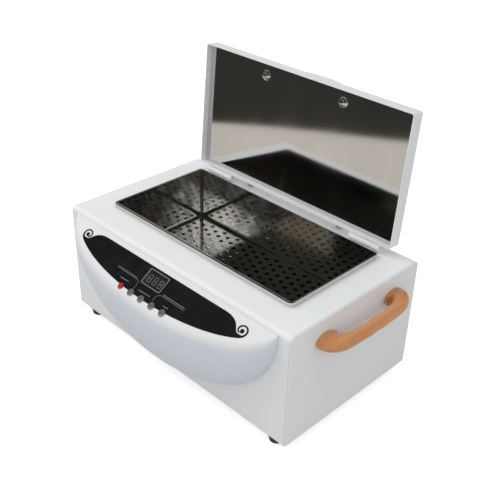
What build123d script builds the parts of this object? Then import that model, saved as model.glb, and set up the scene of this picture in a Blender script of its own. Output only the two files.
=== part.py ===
from build123d import *
import math
import os

# A bench-top dry heat sterilizer: a sheet-metal case with a polished pan sunk in its top,
# a hinged double-skinned lid, a moulded control console and a wooden handle on each side.
# The model is drawn with x = 0 on the centre line, y = 0 at the case's front face and z = 0
# at the case's underside, and is moved at the end so that it stands on z = 0.

# Case
case_height = 144.0
case_side_room = 38.0
case_back_room = 31.0
case_sheet = 1.0
case_bend = 6.0
case_low_bend = 2.0
case_under_fold = 24.0
side_plate = 1.2
side_seam = 0.5
side_fold = 12.0
side_edge_round = 0.8
fold_gap = 0.2
base_upturn = 12.0
base_gap = 0.5
vent_length = 28.0
vent_width = 3.6
vent_pitch = 9.0
vent_count = 9
vent_row_spacing = 70.0

# Feet
foot_diameter = 20.0
foot_base_diameter = 17.0
foot_height = 11.0
foot_side_inset = 22.5
foot_front_inset = 13.0
foot_recess_diameter = 9.0
foot_web = 4.0

# Screws
m4_diameter = 4.0
m4_head_diameter = 7.6
m4_head_height = 2.6
m4_nut_flats = 7.0
m4_nut_height = 3.2
m3_diameter = 3.0
m3_head_diameter = 5.6
m3_head_height = 1.8
screw_clearance = 0.2
thread_gap = 0.02

# Chamber pan and its perforated floor; the case is sized round it
chamber_width = 294.0
chamber_depth = 142.0
chamber_front = 41.0
chamber_corner = 3.0
pan_sheet = 0.8
pan_depth = 82.0
rim_width = 3.0
rim_height = 6.0
rim_round = 0.7
rim_seat_gap = 0.3
case_cut_gap = 0.7
floor_rise = 10.0
floor_sheet = 0.8
floor_gap = 0.5
hole_diameter = 6.0
hole_sides = 8
hole_pitch_x = 12.0
hole_pitch_y = 12.2
hole_margin = 8.5

# Heating
heater_side_margin = 37.0
heater_front_margin = 23.0
heater_plate_thickness = 2.0
heater_tube_diameter = 7.0
heater_run_inset = 20.0
heater_run_pitch = 56.0
heater_runs = 2
heater_tail = 26.0
clamp_width = 12.0
clamp_thickness = 1.2
clamp_inset = 50.0
insulation_thickness = 8.0
insulation_gap = 0.6
insulation_bottom_gap = 19.0
insulation_top_gap = 3.0
probe_diameter = 6.0
probe_length = 26.0
probe_offset = 14.0
saddle_width = 12.0
saddle_depth = 8.0
cutout_diameter = 16.0
cutout_offset = 16.0
cutout_back = 44.0
cutout_tab_spacing = 8.0
cutout_tab_thickness = 0.8
cutout_tab_width = 5.0
cutout_tab_length = 7.0
cutout_height = 9.0

# Lid, drawn closed and then swung open about its hinge
lid_side_overhang = 12.0
lid_front_overhang = 10.9
lid_thickness = 18.0
lid_sheet = 1.0
lid_corner = 3.0
lid_edge_round = 2.4
lid_gap = 1.0
lid_open_angle = 94.3
liner_recess = 8.0
liner_sheet = 0.8
liner_gap = 0.4
liner_fold = 6.0
lid_wool_gap = 0.3

# Hinges
hinge_from_back = 18.0
hinge_side_inset = 63.0
hinge_length = 44.0
hinge_outer_knuckle = 12.0
knuckle_diameter = 10.0
knuckle_lift = 0.4
knuckle_gap = 0.3
hinge_pin_diameter = 4.0
hinge_pin_play = 0.05
leaf_thickness = 1.5
leaf_reach = 11.6
leaf_hole_spacing = 28.0
leaf_hole_inset = 4.0
hinge_screw_bite = 3.0

# Buffers that the open lid leans on
buffer_diameter = 9.0
buffer_spacing = 150.0
buffer_behind_axis = 10.0
buffer_gap = 0.3

# Lid handle
bow_spacing = 120.0
bow_foot_length = 17.0
bow_reach = 33.0
bow_thickness = 9.0
bow_width = 15.0
bow_round = 3.8
bow_edge_inset = 17.0
bow_screw_bite = 9.0
cup_diameter = 13.0
cup_height = 2.2
cup_wall = 0.8

# Side handles
grip_spacing = 115.6
grip_foot_width = 28.0
grip_foot_height = 18.2
grip_elbow_width = 19.0
grip_elbow_height = 18.4
grip_middle_width = 12.8
grip_middle_height = 17.6
grip_reach = 20.4
grip_squareness = 3.55
grip_step = 15
grip_from_middle = 3.7
grip_centre_z = 117.5
grip_screw_bite = 14.0

# Console
console_side_inset = 16.0
console_top = 141.5
console_tilt = 33.5
console_face_depth = 56.4
console_underside = 14.0
console_nose_round = 6.5
console_back_round = 3.2
console_wall = 2.2
console_sections = 15
console_end_angle = 86.5
console_swell = 0.5523
console_belly = 0.52
console_fullness = 0.92
console_boss_diameter = 8.0
console_boss_x = 105.0
console_boss_upper_z = 96.0
console_boss_lower_z = 50.0
console_screw_bite = 9.0
cable_window_width = 40.0
cable_window_height = 22.0
cable_window_z = 82.0

# Control label and what shows through it
label_thickness = 0.4
label_end_inset = 12.0
label_low_edge = 47.0
label_top_edge = 8.0
label_shoulder_inset = 58.0
label_side_points = ((47.0, 9.0), (40.0, 11.7), (35.0, 15.9), (25.4, 21.4))
curl_inset = 25.2
curl_slope = 17.0
curl_disc_radius = 2.5
# Each row is an angle round the scroll's centre with the stroke's outer and inner radius there
curl_stroke = (
    (-104, 8.7, 4.2), (-75, 7.8, 4.6), (-45, 7.1, 4.8), (-10, 7.1, 5.1), (30, 7.1, 5.3),
    (70, 6.9, 5.2), (110, 6.9, 5.3), (145, 7.1, 5.3), (175, 6.7, 4.9), (205, 5.5, 3.7), (232, 3.9, 2.2),
)
display_width = 30.0
display_height = 18.0
display_x = -1.5
display_slope = 21.0
display_gap = 0.2
window_thickness = 1.2
module_height = 7.0
control_row_slope = 47.0
control_pitch = 17.9
first_button_x = -18.7
button_count = 4
button_diameter = 8.8
button_proud = 2.8
button_dome = 1.6
button_play = 0.15
button_collar = 0.7
button_collar_height = 1.0
button_rest_gap = 0.3
button_travel = 0.8
lamp_diameter = 7.6
lamp_proud = 3.0
lamp_collar = 0.7

# Control board behind the console
board_thickness = 1.6
board_width = 112.0
board_height = 40.0
board_slope = 31.0
board_drop = 13.0
board_post_x = 50.0
board_post_slope = 30.0
board_post_diameter = 6.0
switch_size = 6.0
switch_height = 3.5
switch_stem_diameter = 3.4

# Power board in the bottom of the case
power_board_width = 120.0
power_board_depth = 84.0
power_board_x = -70.0
power_board_from_middle = 11.0
spacer_diameter = 6.0
spacer_height = 8.0
spacer_inset = 5.0
transformer_size = (34.0, 28.0, 22.0)
relay_size = (16.0, 20.0, 15.0)
terminal_size = (40.0, 9.0, 10.0)
terminal_ways = 5

# Mains inlet in the back
inlet_x = -120.0
inlet_z = 30.0
inlet_flange_width = 50.0
inlet_flange_height = 24.0
inlet_flange_thickness = 3.0
inlet_screw_spacing = 40.0
inlet_body_width = 28.0
inlet_body_height = 20.5
inlet_body_depth = 17.0
inlet_wall = 1.7
inlet_pin_width = 2.0
inlet_pin_height = 4.0
inlet_pin_length = 11.0
inlet_pin_pitch = 7.0
inlet_earth_lift = 4.0

# Places that follow from the sizes
case_width = chamber_width + 2 * case_side_room
case_depth = chamber_front + chamber_depth + case_back_room
half_width = case_width / 2
chamber_centre_y = chamber_front + chamber_depth / 2
pan_top = case_height + rim_height
pan_floor = pan_top - pan_depth
pan_underside = pan_floor - pan_sheet
base_level = case_sheet + fold_gap
base_top = base_level + case_sheet
knuckle_radius = knuckle_diameter / 2
hinge_axis_y = case_depth - hinge_from_back
hinge_spacing = case_width - 2 * hinge_side_inset
hinge_axis_z = case_height + knuckle_radius + knuckle_lift
lid_back = hinge_axis_y - knuckle_radius - knuckle_lift
lid_front = chamber_front - lid_front_overhang
lid_depth = lid_back - lid_front
lid_width = chamber_width + 2 * lid_side_overhang
lid_centre_y = (lid_back + lid_front) / 2
lid_lip = case_height + lid_gap
lid_top = lid_lip + lid_thickness
liner_level = lid_lip + liner_recess
bow_y = lid_front + bow_edge_inset
tilt = math.radians(console_tilt)
console_semi = half_width - console_side_inset
label_half_length = console_semi - label_end_inset
label_shoulder = label_half_length - label_shoulder_inset
curl_x = label_half_length - curl_inset
heater_plate_width = chamber_width - 2 * heater_side_margin
heater_plate_depth = chamber_depth - 2 * heater_front_margin
power_board_y = case_depth / 2 - power_board_from_middle
grip_centre_y = case_depth / 2 + grip_from_middle
hole_columns = 1 + int((chamber_width - 2 * hole_margin) / hole_pitch_x)
hole_rows = 1 + int((chamber_depth - 2 * hole_margin) / hole_pitch_y)
console_origin = (0.0, 0.0, console_top)
face_plane = Plane(
    origin=console_origin,
    x_dir=(1, 0, 0),
    z_dir=(0, -math.sin(tilt), math.cos(tilt)),
)
foot_places = [
    (side * (half_width - foot_side_inset), y)
    for side in (-1, 1)
    for y in (foot_front_inset, case_depth - foot_front_inset)
]
hinge_centres = {"left": -hinge_spacing / 2, "right": hinge_spacing / 2}


def on_face(x, slope, height=0.0):
    """Place on the console face: slope is measured down the face from its top edge."""
    return face_plane * Pos(x, -slope, height)


def rounded_block(width, depth, height, corner):
    """Upright block with rounded corners, centred on the origin, standing on z = 0."""
    return extrude(RectangleRounded(width, depth, corner), height)


def pan_head_screw(length, diameter, head_diameter, head_height):
    """Screw along z with its head above z = 0 and its shank below."""
    head = Cylinder(head_diameter / 2, head_height, align=(Align.CENTER, Align.CENTER, Align.MIN))
    shank = Cylinder(diameter / 2, length, align=(Align.CENTER, Align.CENTER, Align.MAX))
    return head + shank


def case_outline(inset):
    """The case seen from its end, moved in by the inset."""
    outline = Pos(case_depth / 2, case_height / 2) * Rectangle(
        case_depth - 2 * inset, case_height - 2 * inset
    )
    outline = fillet(outline.vertices().group_by(Axis.Y)[-1], case_bend - inset)
    if inset < case_low_bend:
        outline = fillet(outline.vertices().group_by(Axis.Y)[0], case_low_bend - inset)
    return outline


def case_shell():
    """Front, top and back folded from one sheet, with a fold under each long edge."""
    section = case_outline(0) - case_outline(case_sheet)
    open_bottom = Pos(case_depth / 2, 0) * Rectangle(case_depth - 2 * case_under_fold, 4 * case_sheet)
    half_length = half_width - side_plate - side_seam
    shell = extrude(Plane.YZ * (section - open_bottom), half_length, both=True)
    pan_cut = rounded_block(
        chamber_width + 2 * (pan_sheet + case_cut_gap),
        chamber_depth + 2 * (pan_sheet + case_cut_gap),
        2 * case_bend,
        chamber_corner + pan_sheet,
    )
    shell -= Pos(0, chamber_centre_y, case_height - case_bend) * pan_cut
    window = Box(cable_window_width, 4 * case_sheet, cable_window_height)
    shell -= Pos(0, 0, cable_window_z) * window
    inlet_cut = Box(inlet_body_width + 2 * screw_clearance, 4 * case_sheet,
                    inlet_body_height + 2 * screw_clearance)
    shell -= Pos(inlet_x, case_depth, inlet_z) * inlet_cut
    for side in (-1, 1):
        hole = Rot(90, 0, 0) * Cylinder(m3_diameter / 2 + screw_clearance, 4 * case_sheet)
        shell -= Pos(inlet_x + side * inlet_screw_spacing / 2, case_depth, inlet_z) * hole
    for x, z in console_boss_places():
        hole = Rot(90, 0, 0) * Cylinder(m3_diameter / 2 + screw_clearance, 4 * case_sheet)
        shell -= Pos(x, 0, z) * hole
    for x, y in foot_places:
        shell -= Pos(x, y, 0) * Cylinder(m4_diameter / 2 + screw_clearance, 4 * case_sheet)
    for x, y in case_leaf_holes():
        shell -= Pos(x, y, case_height) * Cylinder(m3_diameter / 2 + screw_clearance, 4 * case_sheet)
    return shell


def side_panel(side):
    """End plate with a fold all round that tucks inside the case shell."""
    plate = extrude(Plane.YZ * case_outline(0), side_plate)
    plate = fillet(plate.faces().sort_by(Axis.X)[-1].edges(), side_edge_round)
    inner = case_sheet + fold_gap
    fold = extrude(Plane.YZ * (case_outline(inner) - case_outline(inner + case_sheet)), -side_fold)
    panel = plate + fold
    for y in grip_foot_places():
        hole = Rot(0, 90, 0) * Cylinder(m4_diameter / 2 + screw_clearance, 6 * side_plate)
        panel -= Pos(0, y, grip_centre_z) * hole
    panel = Pos(half_width - side_plate, 0, 0) * panel
    if side < 0:
        panel = mirror(panel, about=Plane.YZ)
    return panel


def base_plate():
    """Bottom tray that stands on the folds under the case, slotted for cooling air."""
    width = case_width - 2 * (side_plate + side_fold + base_gap)
    depth = case_depth - 2 * (case_sheet + base_gap)
    tray = Pos(0, case_depth / 2, base_level) * Box(
        width, depth, base_upturn, align=(Align.CENTER, Align.CENTER, Align.MIN)
    )
    hollow = Pos(0, case_depth / 2, base_top) * Box(
        2 * width, depth - 2 * case_sheet, base_upturn, align=(Align.CENTER, Align.CENTER, Align.MIN)
    )
    tray -= hollow
    slots = Sketch() + GridLocations(vent_pitch, vent_row_spacing, vent_count, 2) * Rectangle(
        vent_width, vent_length
    )
    tray -= Pos(-power_board_x, case_depth / 2, base_level - case_sheet) * extrude(slots, 3 * case_sheet)
    for x, y in foot_places + spacer_places():
        tray -= Pos(x, y, base_level) * Cylinder(m4_diameter / 2 + screw_clearance, 6 * case_sheet)
    return tray


def foot(x, y):
    """Turned rubber foot with a recess that hides its screw."""
    top = foot_diameter / 2
    low = foot_base_diameter / 2
    bore = m4_diameter / 2 + screw_clearance
    recess = foot_recess_diameter / 2
    section = Polyline(
        (bore, 0), (top, 0), (top, -foot_web), (low, -foot_height),
        (recess, -foot_height), (recess, -foot_web), (bore, -foot_web), (bore, 0),
    )
    ring = revolve(Plane.XZ * make_face(section), Axis.Z)
    return Pos(x, y, 0) * ring


def foot_screws():
    stack = foot_web + base_top
    screw = pan_head_screw(stack + m4_nut_height + 1.0, m4_diameter, m4_head_diameter, m4_head_height)
    return [Pos(x, y, -foot_web) * Rot(180, 0, 0) * screw for x, y in foot_places]


def foot_nuts():
    nut = extrude(RegularPolygon(m4_nut_flats / 2, 6, major_radius=False), m4_nut_height)
    nut -= Cylinder(m4_diameter / 2 + thread_gap, 4 * m4_nut_height)
    return [Pos(x, y, base_top) * nut for x, y in foot_places]


def chamber_pan():
    """Deep pan with its edge folded out and down into a hem that stands on the case."""
    height = pan_depth + pan_sheet
    body = rounded_block(
        chamber_width + 2 * pan_sheet, chamber_depth + 2 * pan_sheet, height, chamber_corner + pan_sheet
    )
    hem_depth = rim_height - rim_seat_gap
    hem = rounded_block(
        chamber_width + 2 * rim_width, chamber_depth + 2 * rim_width, hem_depth, chamber_corner + rim_width
    )
    hem = fillet(hem.faces().sort_by(Axis.Z)[-1].edges(), rim_round * 1.6)
    hollow_side = rim_width - pan_sheet
    groove = rounded_block(
        chamber_width + 2 * hollow_side, chamber_depth + 2 * hollow_side,
        hem_depth - pan_sheet, chamber_corner + hollow_side,
    )
    groove -= rounded_block(
        chamber_width + 2 * pan_sheet, chamber_depth + 2 * pan_sheet,
        hem_depth, chamber_corner + pan_sheet,
    )
    pan = body + Pos(0, 0, height - hem_depth) * (hem - groove)
    inside = rounded_block(chamber_width, chamber_depth, 2 * height, chamber_corner)
    pan -= Pos(0, 0, pan_sheet) * inside
    return Pos(0, chamber_centre_y, pan_underside) * pan


def chamber_floor():
    """Perforated plate with its four edges folded down as legs."""
    width = chamber_width - 2 * floor_gap
    depth = chamber_depth - 2 * floor_gap
    corner = chamber_corner - floor_gap
    tray = rounded_block(width, depth, floor_rise, corner)
    tray -= rounded_block(
        width - 2 * floor_sheet, depth - 2 * floor_sheet, floor_rise - floor_sheet, corner - floor_sheet
    )
    holes = Sketch()
    for column in range(hole_columns):
        x = (column - (hole_columns - 1) / 2) * hole_pitch_x
        rows = hole_rows - column % 2
        holes += [
            Pos(x, (row - (rows - 1) / 2) * hole_pitch_y) * RegularPolygon(hole_diameter / 2, hole_sides)
            for row in range(rows)
        ]
    tray -= Pos(0, 0, floor_rise - 2 * floor_sheet) * extrude(holes, 4 * floor_sheet)
    return Pos(0, chamber_centre_y, pan_floor) * tray


def heater_plate():
    """Aluminium plate that spreads the heat under the pan."""
    plate = rounded_block(heater_plate_width, heater_plate_depth, heater_plate_thickness, 6.0)
    return Pos(0, chamber_centre_y, pan_underside - heater_plate_thickness) * plate


def heating_element():
    """Sheathed heating tube bent to and fro under its plate."""
    level = pan_underside - heater_plate_thickness - heater_tube_diameter / 2
    points = []
    for run in range(heater_runs):
        y = (run - (heater_runs - 1) / 2) * heater_run_pitch
        near, far = (-1, 1) if run % 2 == 0 else (1, -1)
        half_run = heater_plate_width / 2 - heater_run_inset
        points += [(near * half_run, y), (far * half_run, y)]
    points[0] = (points[0][0] - heater_tail, points[0][1])
    points[-1] = (points[-1][0] - heater_tail, points[-1][1])
    path = FilletPolyline(*points, radius=heater_run_pitch / 2 - 0.5)
    start = Plane(origin=path @ 0, z_dir=path % 0)
    tube = sweep(start * Circle(heater_tube_diameter / 2), path)
    return Pos(0, chamber_centre_y, level) * tube


def heater_clamps():
    """Two straps that hold the tube up against its plate."""
    level = pan_underside - heater_plate_thickness - heater_tube_diameter - clamp_thickness
    strap = Box(clamp_width, heater_plate_depth, clamp_thickness,
                align=(Align.CENTER, Align.CENTER, Align.MIN))
    leg = Box(clamp_width, clamp_thickness, heater_tube_diameter + clamp_thickness,
              align=(Align.CENTER, Align.CENTER, Align.MIN))
    for side in (-1, 1):
        strap += Pos(0, side * (heater_plate_depth - clamp_thickness) / 2, 0) * leg
    reach = heater_plate_width / 2 - clamp_inset
    return [Pos(side * reach, chamber_centre_y, level) * strap for side in (-1, 1)]


def chamber_insulation():
    """Glass-wool trough round the pan, deep enough for the heater."""
    inner_gap = pan_sheet + insulation_gap
    inner_width = chamber_width + 2 * inner_gap
    inner_depth = chamber_depth + 2 * inner_gap
    bottom = pan_underside - insulation_bottom_gap
    top = case_height - case_sheet - insulation_top_gap
    block = rounded_block(
        inner_width + 2 * insulation_thickness, inner_depth + 2 * insulation_thickness,
        top - bottom + insulation_thickness, chamber_corner + inner_gap + insulation_thickness,
    )
    hollow = rounded_block(inner_width, inner_depth, top, chamber_corner + inner_gap)
    block -= Pos(0, 0, insulation_thickness) * hollow
    return Pos(0, chamber_centre_y, bottom - insulation_thickness) * block


def temperature_probe():
    """Probe capsule lying under the pan beside the heater, in its saddle."""
    capsule = Rot(90, 0, 0) * Cylinder(probe_diameter / 2, probe_length)
    capsule = fillet(capsule.edges().filter_by(GeomType.CIRCLE), probe_diameter * 0.3)
    saddle = Box(saddle_width, saddle_depth, probe_diameter / 2,
                 align=(Align.CENTER, Align.CENTER, Align.MIN))
    x = heater_plate_width / 2 + probe_offset
    place = Pos(x, chamber_centre_y, pan_underside - probe_diameter / 2)
    return place * (capsule + saddle)


def thermal_cutout():
    """Disc cut-out clipped under the pan, with its two tabs."""
    can = Cylinder(cutout_diameter / 2, cutout_height, align=(Align.CENTER, Align.CENTER, Align.MAX))
    can = chamfer(can.edges().filter_by(GeomType.CIRCLE).sort_by(Axis.Z)[0], 1.0)
    for side in (-1, 1):
        tab = Box(cutout_tab_thickness, cutout_tab_width, cutout_tab_length,
                  align=(Align.CENTER, Align.CENTER, Align.MAX))
        can += Pos(side * cutout_tab_spacing / 2, 0, -cutout_height + 0.5) * tab
    x = -heater_plate_width / 2 - cutout_offset
    return Pos(x, chamber_centre_y + cutout_back, pan_underside) * can


def swing_open(part):
    """Turn a piece of the lid from closed to its open rest position."""
    axis = Axis((0, hinge_axis_y, hinge_axis_z), (1, 0, 0))
    return part.rotate(axis, -lid_open_angle)


def bow_screw_places():
    return [(side * bow_spacing / 2, bow_y) for side in (-1, 1)]


def lid_shell():
    """Outer skin of the lid: a shallow folded box, open below."""
    skin = rounded_block(lid_width, lid_depth, lid_thickness, lid_corner)
    skin = fillet(skin.faces().sort_by(Axis.Z)[-1].edges(), lid_edge_round)
    hollow = rounded_block(
        lid_width - 2 * lid_sheet, lid_depth - 2 * lid_sheet, lid_thickness - lid_sheet,
        lid_corner - lid_sheet,
    )
    skin = Pos(0, lid_centre_y, lid_lip) * (skin - hollow)
    for x, y in bow_screw_places():
        skin -= Pos(x, y, lid_top) * Cylinder(m4_diameter / 2 + screw_clearance, 6 * lid_sheet)
    for x, z in lid_leaf_holes():
        hole = Rot(90, 0, 0) * Cylinder(m3_diameter / 2 + screw_clearance, 6 * lid_sheet)
        skin -= Pos(x, lid_back, z) * hole
    return swing_open(skin)


def lid_liner():
    """Polished inner panel with its edges folded up into the lid."""
    width = lid_width - 2 * (lid_sheet + liner_gap)
    depth = lid_depth - 2 * (lid_sheet + liner_gap)
    corner = lid_corner - lid_sheet
    tray = rounded_block(width, depth, liner_fold, corner)
    tray -= Pos(0, 0, liner_sheet) * rounded_block(
        width - 2 * liner_sheet, depth - 2 * liner_sheet, liner_fold, corner - liner_sheet
    )
    tray = Pos(0, lid_centre_y, liner_level) * tray
    for x, y in bow_screw_places():
        tray -= Pos(x, y, liner_level) * Cylinder(m4_diameter / 2 + screw_clearance, 4 * liner_sheet)
    return swing_open(tray)


def lid_insulation():
    """Glass-wool slab between the lid's two skins."""
    margin = lid_sheet + liner_gap + liner_sheet + lid_wool_gap
    bottom = liner_level + liner_sheet + lid_wool_gap
    top = lid_top - lid_sheet - lid_wool_gap
    slab = rounded_block(lid_width - 2 * margin - 2.0, lid_depth - 2 * margin - 2.0, top - bottom, 2.0)
    slab = Pos(0, lid_centre_y, bottom) * slab
    for x, y in bow_screw_places():
        slab -= Pos(x, y, bottom) * Cylinder(m4_diameter, 4 * lid_thickness)
    return swing_open(slab)


def lid_handle():
    """Bow handle across the lid, a bent bar with a flat foot at each end."""
    half = bow_spacing / 2
    foot = bow_foot_length / 2
    outer = ThreePointArc((-half - foot, 0), (0, bow_reach), (half + foot, 0))
    inner = ThreePointArc((half - foot, 0), (0, bow_reach - bow_thickness), (-half + foot, 0))
    ends = [
        Line((half + foot, 0), (half - foot, 0)),
        Line((-half + foot, 0), (-half - foot, 0)),
    ]
    bar = extrude(Plane.XZ * make_face([outer, inner] + ends), bow_width / 2, both=True)
    bar = fillet(bar.edges().filter_by(GeomType.CIRCLE), bow_round)
    bar = Pos(0, bow_y, lid_top) * bar
    for x, y in bow_screw_places():
        bar -= Pos(x, y, lid_top) * Cylinder(m4_diameter / 2 + thread_gap, 2 * bow_screw_bite)
    return swing_open(bar)


def lid_screws():
    length = lid_top - liner_level + bow_screw_bite + cup_height - 1.0
    screw = pan_head_screw(length, m4_diameter, m4_head_diameter, m4_head_height)
    place = liner_level - cup_height
    return [swing_open(Pos(x, y, place) * Rot(180, 0, 0) * screw) for x, y in bow_screw_places()]


def lid_cup_washers():
    """Dished washers under the heads of the handle's screws."""
    rim = cup_diameter / 2
    bore = m4_diameter / 2 + screw_clearance
    seat = m4_head_diameter / 2 + 0.3
    section = Polyline(
        (bore, -cup_height), (seat, -cup_height), (rim, -cup_wall * 0.4), (rim, 0),
        (seat, -cup_height + cup_wall), (bore, -cup_height + cup_wall), (bore, -cup_height),
    )
    washer = revolve(Plane.XZ * make_face(section), Axis.Z)
    return [swing_open(Pos(x, y, liner_level) * washer) for x, y in bow_screw_places()]


def leaf_hole_xs():
    return [
        centre + side * leaf_hole_spacing / 2
        for centre in hinge_centres.values()
        for side in (-1, 1)
    ]


def case_leaf_holes():
    y = hinge_axis_y + leaf_reach - leaf_hole_inset
    return [(x, y) for x in leaf_hole_xs()]


def lid_leaf_holes():
    z = hinge_axis_z + leaf_reach - leaf_hole_inset
    return [(x, z) for x in leaf_hole_xs()]


def knuckle(x_from, x_to):
    """Rolled barrel of a hinge leaf, bored for the pin, along x on the hinge axis."""
    tube = Rot(0, 90, 0) * Cylinder(
        knuckle_radius, x_to - x_from, align=(Align.CENTER, Align.CENTER, Align.MIN)
    )
    return Pos(x_from, 0, 0) * tube


def pin_bore():
    return Rot(0, 90, 0) * Cylinder(hinge_pin_diameter / 2 + hinge_pin_play, 2 * hinge_length)


def hinge_leaf(centre, barrels, gaps):
    """Leaf lying behind the axis, with its barrels, cleared where the other leaf's barrels turn."""
    half = hinge_length / 2
    under = -knuckle_radius - knuckle_lift
    leaf = Pos(0, 0, under) * Box(
        hinge_length, leaf_reach, leaf_thickness, align=(Align.CENTER, Align.MIN, Align.MIN)
    )
    leaf = fillet(leaf.edges().filter_by(Axis.Z).group_by(Axis.Y)[-1], 2.0)
    clear = knuckle_radius + 2 * knuckle_gap
    for x_from, x_to in gaps:
        cut = Box(x_to - x_from + 2 * knuckle_gap, 2 * clear, 4 * knuckle_radius)
        leaf -= Pos((x_from + x_to) / 2, 0, 0) * cut
    for x_from, x_to in barrels:
        leaf += knuckle(x_from, x_to)
        root = Box(x_to - x_from, knuckle_radius * 0.8, knuckle_radius * 0.6,
                   align=(Align.MIN, Align.MIN, Align.MIN))
        leaf += Pos(x_from, 0, under) * root
    leaf -= pin_bore()
    for side in (-1, 1):
        place = Pos(side * leaf_hole_spacing / 2, leaf_reach - leaf_hole_inset, under)
        leaf -= place * Cylinder(m3_diameter / 2 + screw_clearance, 4 * leaf_thickness)
    assert half > hinge_outer_knuckle
    return Pos(centre, 0, 0) * leaf


def hinge_barrels():
    """Spans of the case leaf's two outer barrels and of the lid leaf's middle one."""
    half = hinge_length / 2
    outer = [(-half, -half + hinge_outer_knuckle), (half - hinge_outer_knuckle, half)]
    middle = [(-half + hinge_outer_knuckle + knuckle_gap, half - hinge_outer_knuckle - knuckle_gap)]
    return outer, middle


def hinge_case_leaf(centre):
    outer, middle = hinge_barrels()
    leaf = hinge_leaf(centre, outer, middle)
    return Pos(0, hinge_axis_y, hinge_axis_z) * leaf


def hinge_lid_leaf(centre):
    """The lid's leaf stands up the closed lid's back, so it is the case leaf turned about the axis."""
    outer, middle = hinge_barrels()
    leaf = mirror(hinge_leaf(centre, middle, outer), about=Plane.XZ)
    leaf = leaf.rotate(Axis.X, -90)
    return swing_open(Pos(0, hinge_axis_y, hinge_axis_z) * leaf)


def hinge_pin(centre):
    pin = Rot(0, 90, 0) * Cylinder(hinge_pin_diameter / 2, hinge_length + 1.0)
    pin = chamfer(pin.edges().filter_by(GeomType.CIRCLE), 0.4)
    return Pos(centre, hinge_axis_y, hinge_axis_z) * pin


def hinge_case_screws():
    length = leaf_thickness + case_sheet + hinge_screw_bite
    screw = pan_head_screw(length, m3_diameter, m3_head_diameter, m3_head_height)
    return [Pos(x, y, case_height + leaf_thickness) * screw for x, y in case_leaf_holes()]


def hinge_lid_screws():
    length = leaf_thickness + lid_sheet + liner_gap / 2
    screw = pan_head_screw(length, m3_diameter, m3_head_diameter, m3_head_height)
    screw = Rot(-90, 0, 0) * screw
    return [swing_open(Pos(x, lid_back + leaf_thickness, z) * screw) for x, z in lid_leaf_holes()]


def lid_buffers():
    """Rubber buffers on the case that the open lid's back wall leans on."""
    lean = math.radians(lid_open_angle - 90)
    reach = buffer_behind_axis + buffer_diameter / 2
    wall_level = hinge_axis_z + (hinge_axis_y - lid_back) / math.cos(lean) - reach * math.tan(lean)
    height = wall_level - buffer_gap - case_height
    buffer = Cylinder(buffer_diameter / 2, height, align=(Align.CENTER, Align.CENTER, Align.MIN))
    buffer = chamfer(buffer.edges().filter_by(GeomType.CIRCLE).sort_by(Axis.Z)[-1], buffer_diameter / 6)
    y = hinge_axis_y + buffer_behind_axis
    return [Pos(side * buffer_spacing / 2, y, case_height) * buffer for side in (-1, 1)]


def grip_foot_places():
    return [grip_centre_y + side * grip_spacing / 2 for side in (-1, 1)]


def grip_size(share):
    """Width and height of the handle, from 0 in the middle to 1 where it meets the case."""
    stations = (
        (0.0, grip_middle_width, grip_middle_height),
        (0.35, grip_middle_width + 0.6, grip_middle_height),
        (0.85, grip_elbow_width, grip_elbow_height),
        (1.0, grip_foot_width, grip_foot_height),
    )
    for (near, width, height), (far, next_width, next_height) in zip(stations, stations[1:]):
        if share <= far:
            part = (share - near) / (far - near)
            return width + part * (next_width - width), height + part * (next_height - height)


def side_handle(side):
    """Wooden handle: oval sections lofted along an arch that turns square into the case."""
    sections = []
    for degrees in range(-90, 91, grip_step):
        angle = math.radians(degrees)
        along = math.copysign(abs(math.sin(angle)) ** (2 / grip_squareness), angle)
        out = math.cos(angle) ** (2 / grip_squareness) if abs(degrees) < 90 else 0.0
        slope = math.pi / 2
        if degrees:
            rise = abs(along) ** (grip_squareness - 1) * grip_reach
            run = out ** (grip_squareness - 1) * grip_spacing / 2
            slope = math.atan2(run, -math.copysign(rise, degrees))
        width, height = grip_size(abs(math.sin(angle)))
        plane = Plane(
            origin=(grip_reach * out, along * grip_spacing / 2, 0),
            x_dir=(math.sin(slope), -math.cos(slope), 0),
            z_dir=(math.cos(slope), math.sin(slope), 0),
        )
        sections.append(plane * Ellipse(width / 2, height / 2))
    grip = loft(sections)
    for y in (-grip_spacing / 2, grip_spacing / 2):
        bore = Rot(0, 90, 0) * Cylinder(m4_diameter / 2 + thread_gap, 2 * grip_screw_bite)
        grip -= Pos(0, y, 0) * bore
    grip = Pos(half_width, grip_centre_y, grip_centre_z) * grip
    if side < 0:
        grip = mirror(grip, about=Plane.YZ)
    return grip


def side_handle_screws():
    screw = pan_head_screw(side_plate + grip_screw_bite - 1.0, m4_diameter, m4_head_diameter, m4_head_height)
    screw = Rot(0, -90, 0) * screw
    right = [Pos(half_width - side_plate, y, grip_centre_z) * screw for y in grip_foot_places()]
    return right + [mirror(solid, about=Plane.YZ) for solid in right]


def console_anchor(inset):
    """Height at which the face, lowered by the inset, meets the case front."""
    return console_top - inset / math.cos(tilt)


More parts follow.
